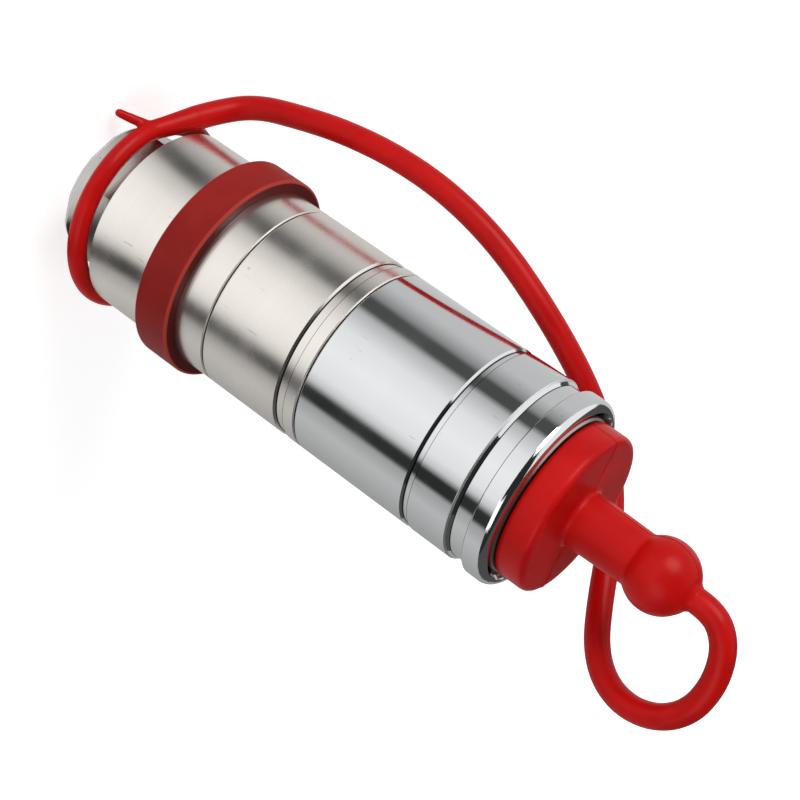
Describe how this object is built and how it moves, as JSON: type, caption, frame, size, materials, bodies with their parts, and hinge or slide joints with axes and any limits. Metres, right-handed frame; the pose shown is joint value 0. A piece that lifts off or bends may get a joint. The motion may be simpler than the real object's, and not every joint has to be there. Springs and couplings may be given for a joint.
{
  "type": "hydraulic quick coupler",
  "caption": "Push-pull hydraulic quick coupler socket with hexagon hose port, colour ring, and red dust plug on a lanyard.",
  "frame": {"origin": "centre of the port adapter's end face, on which the coupler stands", "axes": "+Z along the coupler's axis from the hose port to the dust plug; a hexagon corner faces -Y"},
  "size_m": [0.0631, 0.0474, 0.1521],
  "materials": {
    "satin_steel": "satin turned, zinc plated",
    "bright_steel": "bright turned, zinc plated",
    "zinc_steel": "zinc plated",
    "inner_steel": "machined",
    "ball_steel": "polished",
    "spring_steel": "drawn wire",
    "dark_red_band": "matt",
    "red_pvc": "soft semi-gloss moulding",
    "black_seal": "nitrile",
    "white_ptfe": "matt"
  },
  "bodies": {
    "coupler_body": {"port_adapter": "zinc_steel", "valve_body": "zinc_steel", "adapter_o_ring": "black_seal", "poppet_guide": "inner_steel", "spring_collar": "zinc_steel", "locking_balls": "ball_steel", "bore_o_ring": "black_seal", "backup_ring": "white_ptfe", "rear_centring_spring": "spring_steel", "front_centring_spring": "spring_steel", "poppet_spring": "spring_steel"},
    "outer_sleeve": {"rear_sleeve": "satin_steel", "middle_sleeve": "satin_steel", "front_sleeve": "bright_steel", "colour_ring": "dark_red_band", "lanyard_ring": "red_pvc", "lanyard_strap_rear": "red_pvc"},
    "poppet_valve": {"poppet": "inner_steel", "poppet_seal": "black_seal"},
    "plug": {"dust_plug": "red_pvc", "lanyard_strap_front": "red_pvc"}
  },
  "joints": [
    {"name": "sleeve_slide", "type": "slide", "parent": "coupler_body", "child": "outer_sleeve", "axis": [0, 0, 1], "range_m": [-0.005, 0.005], "stiffness_N_per_m": 4000, "springref_m": 0.0007, "deforming": ["rear_centring_spring", "front_centring_spring", "lanyard_strap_rear"]},
    {"name": "poppet_slide", "type": "slide", "parent": "coupler_body", "child": "poppet_valve", "axis": [0, 0, -1], "range_m": [0, 0.006], "stiffness_N_per_m": 1500, "springref_m": -0.01, "deforming": ["poppet_spring"]},
    {"name": "plug_pull", "type": "slide", "parent": "coupler_body", "child": "plug", "axis": [0, 0, 1], "range_m": [0, 0.025], "deforming": ["lanyard_strap_front"]}
  ]
}
